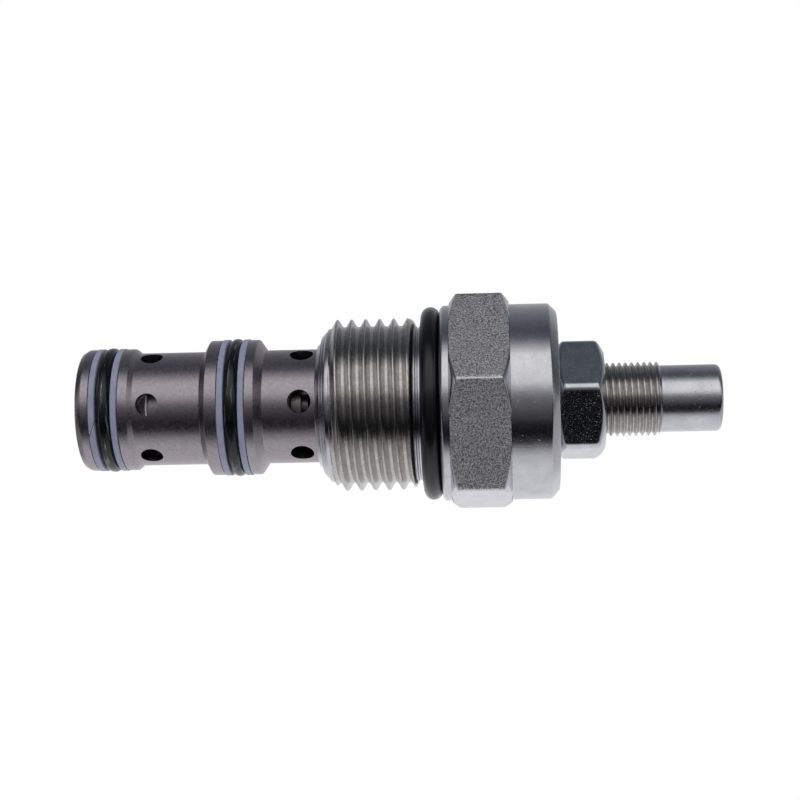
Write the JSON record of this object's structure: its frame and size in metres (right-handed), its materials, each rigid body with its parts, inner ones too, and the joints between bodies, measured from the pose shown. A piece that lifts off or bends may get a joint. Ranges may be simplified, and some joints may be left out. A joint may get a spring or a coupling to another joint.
{
  "type": "screw-in hydraulic cartridge valve",
  "caption": "Screw-in hydraulic spool cartridge valve with sealed lands, radial ports, hexagonal body and screw adjuster.",
  "frame": {"origin": "on the valve's axis at the underside of the body's collar, the face that seats on the manifold", "axes": "+Z along the valve's axis from the nose to the adjuster; X and Y across it"},
  "size_m": [0.0278, 0.0286, 0.0821],
  "materials": {
    "plated_body": "bright zinc plate over turned and rough-rolled steel",
    "cage_steel": "satin heat-treated steel, ground",
    "spool_steel": "ground and polished",
    "spring_steel": "oiled spring wire",
    "seat_steel": "turned",
    "ball_steel": "polished",
    "screw_steel": "zinc plated",
    "nut_steel": "bright zinc plate",
    "nitrile": "oiled nitrile rubber",
    "backup_plastic": "fluoropolymer, slightly waxy",
    "nut_seal_nylon": "nylon"
  },
  "bodies": {
    "valve_body": {"hex_body": "plated_body", "cage": "cage_steel", "flange_o_ring": "nitrile", "lower_o_ring": "nitrile", "lower_backup_ring_nose": "backup_plastic", "lower_backup_ring_body": "backup_plastic", "upper_o_ring": "nitrile", "upper_backup_ring_nose": "backup_plastic", "upper_backup_ring_body": "backup_plastic", "spool_stop_ring": "spring_steel", "control_spring": "spring_steel"},
    "spool_group": {"spool": "spool_steel", "lower_spring_seat": "seat_steel"},
    "preload_group": {"upper_spring_seat": "seat_steel", "thrust_ball": "ball_steel"},
    "adjuster": {"adjusting_screw": "screw_steel", "adjuster_o_ring": "nitrile", "adjuster_backup_ring": "backup_plastic"},
    "nut_carrier": {"lock_nut_seal": "nut_seal_nylon"},
    "nut": {"lock_nut": "nut_steel"}
  },
  "joints": [
    {"name": "spool_travel", "type": "slide", "parent": "valve_body", "child": "spool_group", "axis": [0, 0, 1], "range_m": [-0.0015, 0.002], "stiffness_N_per_m": 28500, "deforming": ["control_spring"]},
    {"name": "preload_travel", "type": "slide", "parent": "valve_body", "child": "preload_group", "axis": [0, 0, 1], "range_m": [-0.00396, 0.00158], "deforming": ["control_spring"]},
    {"name": "adjuster_turn", "type": "hinge", "parent": "preload_group", "child": "adjuster", "pos_m": [0, 0, 0], "axis": [0, 0, 1], "range_deg": [-1800, 720]},
    {"name": "nut_travel", "type": "slide", "parent": "valve_body", "child": "nut_carrier", "axis": [0, 0, 1], "range_m": [0, 0.00158]},
    {"name": "nut_turn", "type": "hinge", "parent": "nut_carrier", "child": "nut", "pos_m": [0, 0, 0.0179], "axis": [0, 0, 1], "range_deg": [0, 720]}
  ],
  "couplings": [
    {"joint": "adjuster_turn", "follows": "preload_travel", "rad_per_m": 7915.8},
    {"joint": "nut_turn", "follows": "nut_travel", "rad_per_m": 7915.8}
  ]
}
